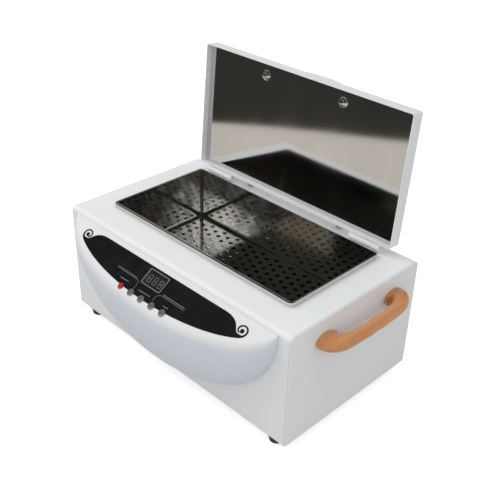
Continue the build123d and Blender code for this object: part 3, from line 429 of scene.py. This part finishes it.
paint(black_rubber, "front_left_foot", "front_right_foot", "rear_left_foot", "rear_right_foot")
paint(pale_rubber, "lid_buffers")
paint(label_film, "console_label")
paint(plated, "lid_screws", "lid_cup_washers", "hinge_case_screws", "hinge_lid_screws")
paint(plated, "left_hinge_pin", "right_hinge_pin", "inlet_screws")
paint(satin_chrome, "button_1", "button_2", "button_3", "button_4")
paint(smoked_glass(), "display_window")
paint(dark_moulding, "power_inlet", "display_module", "push_switches", "thermal_cutout")
paint(dark_moulding, "board_spacers", "transformer", "relay", "terminal_block")
paint(zinc, "base_plate", "heater_clamps", "foot_screws", "foot_nuts")
paint(zinc, "handle_screws", "console_screws", "control_board_screws")
paint(wool, "chamber_insulation", "lid_insulation")
paint(board_green, "control_board", "power_board")
paint(aluminium, "heater_plate")
paint(sheath, "heating_element", "temperature_probe")
paint(brass, "inlet_pins")
paint(red_lens, "indicator_lamp")
print("made", len(bpy.data.materials), "materials")

# %% [markdown]
# The chamber's floor is a steel plate with its edges folded down and about 250 punched
# holes, staggered, so that columns of 11 and of 10 take turns. The solid has eight-sided
# holes to stay light. Here one tray is bent from a block without a bottom, and round
# cutters, repeated by arrays, punch it.

# %% Perforated floor
hole_radius = 3.0 * mm
hole_step_x = 24.0 * mm
hole_step_y = 12.2 * mm
hole_columns = 12
long_column = 11
short_column = 10
hole_sides = 28
punch_reach = 2.0 * mm
plate_sheet = 0.8 * mm
plate_fold = 1.2 * mm
pick_slack = 0.1 * mm


def punch(first_x, rows):
    """A field of cylinders: every second column of the floor's holes."""
    top = floor_high.z
    low, high = top - punch_reach, top + punch_reach
    punches = new_cylinder(hole_radius, low, high, hole_sides, first_x)
    punches.data.transform(Matrix.Translation((0, -(rows - 1) / 2 * hole_step_y, 0)))
    for count, step in ((hole_columns, (hole_step_x, 0, 0)), (rows, (0, hole_step_y, 0))):
        apply_modifier(punches, "ARRAY", count=count, use_relative_offset=False,
                       use_constant_offset=True, constant_offset_displace=step)
    return punches


def perforated_floor():
    size = floor_high - floor_low
    centre = (floor_high + floor_low) / 2
    tray = new_block(size.x, size.y, size.z, centre)
    bpy.ops.object.mode_set(mode="EDIT")
    pick(tray, "FACE", lambda middle, normal: normal.z < -0.5)
    bpy.ops.mesh.delete(type="FACE")
    pick(tray, "EDGE", lambda middle, direction: middle.z > centre.z - pick_slack)
    bpy.ops.mesh.bevel(offset=plate_fold, segments=4)
    bpy.ops.object.mode_set(mode="OBJECT")
    apply_modifier(tray, "SOLIDIFY", thickness=plate_sheet, offset=-1)
    first_x = centre.x - (hole_columns - 0.5) * hole_step_x / 2
    long_field = punch(first_x, long_column)
    short_field = punch(first_x + hole_step_x / 2, short_column)
    cutter = join([long_field, short_field])
    cutter.location.y += centre.y
    select_only(cutter)
    bpy.ops.object.transform_apply(location=True)
    apply_modifier(tray, "BOOLEAN", operation="DIFFERENCE", solver="EXACT", object=cutter)
    bpy.data.objects.remove(cutter)
    return settle(tray, "floor_plate", "case", smooth=30)


floor_plate = perforated_floor()
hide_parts("chamber_floor")
paint(floor_steel, "floor_plate")
print("punched the floor:", len(floor_plate.data.polygons), "faces")

# %% [markdown]
# The push buttons are turned and chromed: a flange, a groove and a low dome. One outline is
# spun for the first button and copied for the other three, each riding on its own body so
# that it can be pressed. The collar below keeps the button in the console.

# %% Push buttons
def spun(name, outline, sides=48):
    """Piece turned about its own z: the outline is a list of radius and height, in mm."""
    work = bmesh.new()
    corners = [work.verts.new((radius * mm, 0, height * mm)) for radius, height in outline]
    for first, second in zip(corners, corners[1:]):
        work.edges.new((first, second))
    mesh = bpy.data.meshes.new(name)
    work.to_mesh(mesh)
    work.free()
    piece = bpy.data.objects.new(name, mesh)
    bpy.context.scene.collection.objects.link(piece)
    select_only(piece)
    bpy.ops.object.mode_set(mode="EDIT")
    bpy.ops.mesh.select_all(action="SELECT")
    bpy.ops.mesh.spin(steps=sides, angle=math.tau, axis=(0, 0, 1), center=(0, 0, 0))
    bpy.ops.mesh.select_all(action="SELECT")
    bpy.ops.mesh.remove_doubles(threshold=0.002 * mm)
    bpy.ops.mesh.normals_make_consistent(inside=False)
    bpy.ops.object.mode_set(mode="OBJECT")
    return piece


def copy_of(piece):
    double = piece.copy()
    double.data = piece.data.copy()
    bpy.context.scene.collection.objects.link(double)
    return double


def dome(radius, low, high, steps=8):
    """Outline of a dome from its rim in to its top."""
    turns = [math.pi / 2 * step / steps for step in range(steps + 1)]
    return [(radius * math.cos(turn), low + (high - low) * math.sin(turn)) for turn in turns]


first_button_x = -18.7 * mm
control_pitch = 17.9 * mm
control_slope = 47.0 * mm
button_outline = [
    (0, -8.4), (4.4, -8.4), (4.4, -3.6), (5.05, -3.5), (5.05, -2.6), (4.4, -2.5), (4.4, 1.0),
    (4.2, 1.3), (3.7, 1.4), (3.45, 1.25), (3.35, 1.3),
] + dome(3.3, 1.4, 2.8)
first_button = spun("push_button_1", button_outline)
caps = [first_button] + [copy_of(first_button) for _ in range(3)]
for number, cap in enumerate(caps, start=1):
    spot = on_face(first_button_x + (number - 1) * control_pitch, control_slope)
    settle(cap, f"push_button_{number}", f"button_{number}", spot)
    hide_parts(f"button_{number}")
    paint(satin_chrome, cap.name)
print("turned 4 buttons of", len(first_button.data.polygons), "faces")

# %% [markdown]
# The indicator is a red moulded lens with a small step round its foot. Its stem goes down
# through the console to the board, and a collar behind the wall holds it.

# %% Indicator lamp
lamp_x = first_button_x - control_pitch
lamp_outline = [
    (0, -13), (3.8, -13), (3.8, -3.4), (4.5, -3.4), (4.5, -2.4), (3.8, -2.4), (3.8, 0.7),
    (3.65, 0.9), (3.3, 0.9),
] + dome(3.2, 1.0, 3.0)
lamp_lens = spun("lamp_lens", lamp_outline)
settle(lamp_lens, "lamp_lens", "case", on_face(lamp_x, control_slope))
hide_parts("indicator_lamp")
paint(red_lens, "lamp_lens")
print("turned the indicator's lens")

# %% [markdown]
# Behind the smoked pane stand three seven-segment digits, all showing a plain 8 when they
# are off. One segment is a six-sided bar; seven copies make a digit and three digits the
# display. They lie on the display block just behind the pane.

# %% Display digits
digit_pitch = 8.9 * mm
digit_width = 4.6 * mm
digit_height = 9.4 * mm
bar_width = 1.25 * mm
bar_height = 0.08 * mm
bar_gap = 0.2 * mm
digit_drop = 0.8 * mm
display_x = -1.5 * mm
display_slope = 21.0 * mm
digit_level = -0.95 * mm


def segment(length):
    """Flat bar with pointed ends, lying along x."""
    bar = new_cylinder(bar_width / 2, 0, bar_height, 6)
    bar.data.transform(Matrix.Rotation(math.radians(90), 4, "Z"))
    for corner in bar.data.vertices:
        if abs(corner.co.x) > bar_width * 0.1:
            corner.co.x += math.copysign((length - bar_width) / 2, corner.co.x)
    return bar


def digit(x):
    bars = []
    for row in (-1, 0, 1):
        bar = segment(digit_width)
        bar.data.transform(Matrix.Translation((x, row * digit_height / 2, 0)))
        bars.append(bar)
    for row in (-1, 1):
        for side in (-1, 1):
            bar = segment(digit_height / 2 - bar_gap)
            bar.data.transform(Matrix.Rotation(math.radians(90), 4, "Z"))
            spot = (x + side * digit_width / 2, row * digit_height / 4, 0)
            bar.data.transform(Matrix.Translation(spot))
            bars.append(bar)
    return bars


bars = [bar for number in (-1, 0, 1) for bar in digit(number * digit_pitch)]
digits_place = on_face(display_x, display_slope + digit_drop, digit_level)
settle(join(bars), "display_digits", "case", digits_place)
paint(unlit_digit, "display_digits")
print("made", len(bars), "display segments")

# %% [markdown]
# The label is printed with a grey frame round the display, thin rules and two brackets that
# point to the buttons. A printed line is a flat ribbon, a hair proud of the label, swept
# along its points.

# %% Printed lines
print_level = 0.42 * mm
print_height = 0.03 * mm


def ribbon(points, width):
    """Flat ribbon along points of the label, given as x and slope in mm."""
    centre = [Vector((x * mm, -slope * mm, 0)) for x, slope in points]
    work = bmesh.new()
    rows = []
    for index, point in enumerate(centre):
        ahead = centre[min(index + 1, len(centre) - 1)] - centre[max(index - 1, 0)]
        aside = Vector((-ahead.y, ahead.x, 0)).normalized() * width * mm / 2
        rows.append([work.verts.new(point + aside), work.verts.new(point - aside)])
    for (a, b), (c, d) in zip(rows, rows[1:]):
        work.faces.new((a, b, d, c))
    mesh = bpy.data.meshes.new("ribbon")
    work.to_mesh(mesh)
    work.free()
    piece = bpy.data.objects.new("ribbon", mesh)
    bpy.context.scene.collection.objects.link(piece)
    apply_modifier(piece, "SOLIDIFY", thickness=print_height, offset=1)
    return piece


def bend(start, corner, end, steps=8):
    """Points of a smooth bend from start to end round a corner."""
    points = []
    for t in (step / steps for step in range(steps + 1)):
        ways = zip(start, corner, end)
        points.append(tuple(a * (1 - t) ** 2 + 2 * b * t * (1 - t) + c * t * t for a, b, c in ways))
    return points


left_bracket = [(-59, 30.4)] + bend((-26, 30.4), (-19, 30.6), (-18.9, 37)) + [(-19.4, 43.5)]
right_bracket = [(14.2, 43)] + bend((13.6, 39), (13.6, 31.4), (22, 31.4)) + [(57, 31.9)]
thin, thick = 0.55, 0.9
rules = [
    (left_bracket, thin), ([(-59, 29), (-25, 29)], thin),
    (right_bracket, thin), ([(21, 29.6), (56, 29.6)], thick),
    ([(-45.5, 38.5), (-31, 38.3)], thick), ([(-11.5, 39.6), (7.4, 39.4)], thick),
    ([(30, 39.8), (38, 39.6)], thick),
]
frame_half_x, frame_half_y, frame_line = 15.6, 9.6, 1.1
middle_x, middle_slope = display_x / mm, display_slope / mm
for side in (-1, 1):
    x = middle_x + side * frame_half_x
    upright = [(x, middle_slope - frame_half_y), (x, middle_slope + frame_half_y)]
    rules.append((upright, frame_line))
    slope = middle_slope + side * frame_half_y
    reach = frame_half_x - frame_line / 2
    rules.append(([(middle_x - reach, slope), (middle_x + reach, slope)], frame_line))
ribbons = [ribbon(points, width) for points, width in rules]
settle(join(ribbons), "label_print", "case", on_face(0, 0, print_level))
paint(printed_grey, "label_print")
print("printed", len(rules), "lines")

# %% [markdown]
# The lid's handle is held by two screws that pass through the liner, each on a dished
# washer. The washer is turned, and so is the screw, whose cross recess is cut into its
# head. Each arm of the cross is cut by itself, because two crossing cutters in one boolean
# can leave an empty mesh. Both are drawn on the shut lid and swung open with it.

# %% Lid screws and their washers
def cross_head(name, radius, height, length, shank, sides=40):
    """Screw along z, sizes in mm: domed head above z = 0 with a cross recess, shank below."""
    outline = [(0, -length), (shank, -length), (shank, 0), (radius, 0), (radius, height * 0.35)]
    outline += dome(radius * 0.97, height * 0.4, height)
    screw = spun(name, outline, sides)
    arm_length, arm_width, arm_height = radius * 1.05 * mm, radius * 0.24 * mm, height * 1.1 * mm
    for across in (0, 90):
        arm = new_block(arm_length, arm_width, arm_height, (0, 0, height * mm))
        arm.data.transform(Matrix.Rotation(math.radians(across), 4, "Z"))
        apply_modifier(screw, "BOOLEAN", operation="DIFFERENCE", solver="EXACT", object=arm)
        bpy.data.objects.remove(arm)
    return screw


bow_half_spacing = 60.0 * mm
bow_y = (30.1 + 17.0 - 103.445) * mm
liner_level = (153.0 + 11.0) * mm
screw_seat = 2.2 * mm
screw_turn = 0.5
screw_sizes = {"radius": 3.8, "height": 2.6, "length": 20.2, "shank": 2.0}
washer_outline = [
    (2.2, -2.2), (4.1, -2.2), (5.2, -1.5), (6.35, -0.5), (6.5, -0.2), (6.5, 0),
    (6.2, -0.05), (5.0, -0.8), (4.1, -1.4), (2.2, -1.4), (2.2, -2.2),
]
down = Matrix.Rotation(math.pi, 4, "X")
for side, word in ((-1, "left"), (1, "right")):
    spot = on_lid(Matrix.Translation((side * bow_half_spacing, bow_y, liner_level)))
    washer = settle(spun("washer", washer_outline), f"{word}_cup_washer", "lid", spot)
    turn = Matrix.Rotation(screw_turn * side, 4, "Z")
    seat = spot @ Matrix.Translation((0, 0, -screw_seat)) @ down @ turn
    screw = settle(cross_head("screw", **screw_sizes), f"{word}_lid_screw", "lid", seat)
    for piece in (washer, screw):
        paint(plated, piece.name)
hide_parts("lid_cup_washers")
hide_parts("lid_screws")

# %% [markdown]
# The scene is a plain pale floor in a soft studio. Floor and sky look white to the camera,
# while the polished steel sees the room they stand in, a pale table with dark walls beyond,
# as it does in a real workshop. Soft light that reaches white sheet by way of the steel
# comes from the sky again. The floor throws back less light than it shows, so that what
# faces down stays grey. A large soft lamp hangs to the left and a weaker one fills the
# right side; neither shows in the steel, and pale surfaces stay just below white.

# %% Floor, sky and lamps
sky_strength = 0.84
table_edge = 0.80
table_side = (-0.78, -0.62)
edge_wander = 0.10
edge_softness = 0.02
table_seen = (0.66, 0.62, 0.565)
room_seen = (0.040, 0.037, 0.032)
floor_glow = 0.62
floor_radius = 6


def seen_in_steel(tree, ray):
    """One where polished steel mirrors the room straight to the camera, zero for soft light."""
    share = tree.nodes.new("ShaderNodeMath")
    share.operation = "SUBTRACT"
    share.use_clamp = True
    tree.links.new(ray.outputs["Is Glossy Ray"], share.inputs[0])
    tree.links.new(ray.outputs["Diffuse Depth"], share.inputs[1])
    return share.outputs[0]


def floor_finish():
    """White to the camera; a pale table with a dark room beyond it to the polished steel."""
    finish = Finish("studio_floor", roughness=0.9)
    tree = finish.tree
    grain = finish.noise(3.0, 3.0)
    pale = finish.ramp(grain, (0.4, (0.80, 0.80, 0.80)), (0.6, (0.82, 0.82, 0.82)))
    dim = finish.ramp(grain, (0.4, (0.49, 0.495, 0.505)), (0.6, (0.51, 0.515, 0.525)))
    by_camera = finish.node("ShaderNodeLightPath")
    finish.feed("Base Color", finish.mix(by_camera, dim, pale))
    place = finish.node("ShaderNodeTexCoord", output="Object")
    split = {"Vector": place}
    across = finish.node("ShaderNodeSeparateXYZ", {}, split)
    along = finish.node("ShaderNodeSeparateXYZ", {}, split, output=1)
    side_x, side_y = table_side
    beyond = across * side_x + along * side_y + (grain - 0.5) * edge_wander
    edge = {"interpolation_type": "SMOOTHSTEP"}
    ends = {0: beyond, 1: table_edge - edge_softness, 2: table_edge + edge_softness}
    share = finish.node("ShaderNodeMapRange", edge, ends)
    bench = tree.nodes.new("ShaderNodeEmission")
    tree.links.new(finish.mix(share, table_seen, room_seen).socket, bench.inputs["Color"])
    white = tree.nodes.new("ShaderNodeEmission")
    white.inputs["Strength"].default_value = floor_glow
    both = tree.nodes.new("ShaderNodeAddShader")
    tree.links.new(finish.shader.outputs[0], both.inputs[0])
    tree.links.new(white.outputs[0], both.inputs[1])
    ray = tree.nodes.new("ShaderNodeLightPath")
    for_steel = tree.nodes.new("ShaderNodeMixShader")
    tree.links.new(seen_in_steel(tree, ray), for_steel.inputs[0])
    tree.links.new(finish.shader.outputs[0], for_steel.inputs[1])
    tree.links.new(bench.outputs[0], for_steel.inputs[2])
    seen = tree.nodes.new("ShaderNodeMixShader")
    tree.links.new(ray.outputs["Is Camera Ray"], seen.inputs[0])
    tree.links.new(for_steel.outputs[0], seen.inputs[1])
    tree.links.new(both.outputs[0], seen.inputs[2])
    tree.links.new(seen.outputs[0], tree.nodes["Material Output"].inputs["Surface"])
    return finish.material


def studio_floor():
    bpy.ops.object.select_all(action="DESELECT")
    bpy.ops.mesh.primitive_circle_add(radius=floor_radius, vertices=96, fill_type="NGON")
    ground = bpy.context.object
    ground.name = "studio_floor"
    ground.data.materials.append(floor_finish())


# Each patch of light that the polished steel sees: its direction, the cosines between
# which its edge is soft, its colour and its strength.
room_lights = (
    ((0.632, -0.592, 0.500), 0.9987, 0.9997, (1.0, 0.98, 0.94), 2.6),
    ((-0.56, 0.67, 0.50), 0.90, 0.99, (0.62, 0.50, 0.36), 0.50),
    ((0.55, 0.62, 0.56), 0.72, 0.95, (0.80, 0.72, 0.60), 0.30),
)


def studio_sky():
    """White to the camera, soft light to the object, and a dark room with lights to the steel."""
    world = bpy.data.worlds.new("studio_sky")
    world.use_nodes = True
    bpy.context.scene.world = world
    tree = world.node_tree
    sky = next(n for n in tree.nodes if n.type == "BACKGROUND")
    sky.inputs["Color"].default_value = (0.93, 0.96, 1.0, 1)
    sky.inputs["Strength"].default_value = sky_strength
    place = tree.nodes.new("ShaderNodeTexCoord")
    room = tree.nodes.new("ShaderNodeBackground")
    room.inputs["Color"].default_value = (*room_seen, 1)
    for direction, outer, inner, colour, strength in room_lights:
        dot = tree.nodes.new("ShaderNodeVectorMath")
        dot.operation = "DOT_PRODUCT"
        dot.inputs[1].default_value = Vector(direction).normalized()
        tree.links.new(place.outputs["Generated"], dot.inputs[0])
        edge = tree.nodes.new("ShaderNodeMapRange")
        edge.interpolation_type = "SMOOTHSTEP"
        edge.inputs["From Min"].default_value = outer
        edge.inputs["From Max"].default_value = inner
        edge.inputs["To Max"].default_value = strength
        tree.links.new(dot.outputs["Value"], edge.inputs[0])
        lit = tree.nodes.new("ShaderNodeBackground")
        lit.inputs["Color"].default_value = (*colour, 1)
        tree.links.new(edge.outputs[0], lit.inputs["Strength"])
        total = tree.nodes.new("ShaderNodeAddShader")
        tree.links.new(room.outputs[0], total.inputs[0])
        tree.links.new(lit.outputs[0], total.inputs[1])
        room = total
    ray = tree.nodes.new("ShaderNodeLightPath")
    for_steel = tree.nodes.new("ShaderNodeMixShader")
    tree.links.new(seen_in_steel(tree, ray), for_steel.inputs[0])
    tree.links.new(sky.outputs[0], for_steel.inputs[1])
    tree.links.new(room.outputs[0], for_steel.inputs[2])
    backdrop = tree.nodes.new("ShaderNodeBackground")
    backdrop.inputs["Color"].default_value = (1, 1, 1, 1)
    mix = tree.nodes.new("ShaderNodeMixShader")
    tree.links.new(ray.outputs["Is Camera Ray"], mix.inputs[0])
    tree.links.new(for_steel.outputs[0], mix.inputs[1])
    tree.links.new(backdrop.outputs[0], mix.inputs[2])
    output = next(n for n in tree.nodes if n.type == "OUTPUT_WORLD")
    tree.links.new(mix.outputs[0], output.inputs["Surface"])


def soft_lamp(name, place, size, power, target=(0, 0, 0.1)):
    lamp = bpy.data.lights.new(name, "AREA")
    lamp.shape = "DISK"
    lamp.size = size
    lamp.energy = power
    holder = bpy.data.objects.new(name, lamp)
    bpy.context.scene.collection.objects.link(holder)
    aim = Vector(target) - Vector(place)
    holder.location = place
    holder.rotation_euler = aim.to_track_quat("-Z", "Y").to_euler()
    holder.visible_glossy = False


studio_floor()
studio_sky()
soft_lamp("overhead_lamp", (-0.7, -0.5, 1.3), 1.2, 7.0)
soft_lamp("fill_lamp", (1.2, -1.4, 0.8), 1.0, 3.5)
print("lit the studio")

# %% [markdown]
# The camera stands where the photographer stood: to the right of the console and a little
# above the lid's top edge. Its place and turn were found from the straight edges of the
# case, the rim and the lid.

# %% Camera
camera_place = Vector((0.5899, -0.5839, 0.6367))
camera_right = Vector((0.7072, 0.7065, 0.0268))
camera_up = Vector((-0.3835, 0.3515, 0.8540))
camera_lens = 58.26


def studio_camera():
    lens = bpy.data.cameras.new("camera")
    lens.sensor_width = 36.0
    lens.lens = camera_lens
    lens.clip_start = 0.01
    holder = bpy.data.objects.new("camera", lens)
    bpy.context.scene.collection.objects.link(holder)
    back = camera_right.cross(camera_up)
    turn = Matrix((camera_right, camera_up, back)).transposed().to_4x4()
    holder.matrix_world = Matrix.Translation(camera_place) @ turn
    bpy.context.scene.camera = holder


studio_camera()
bpy.context.scene.view_settings.view_transform = "Standard"
print("camera placed")
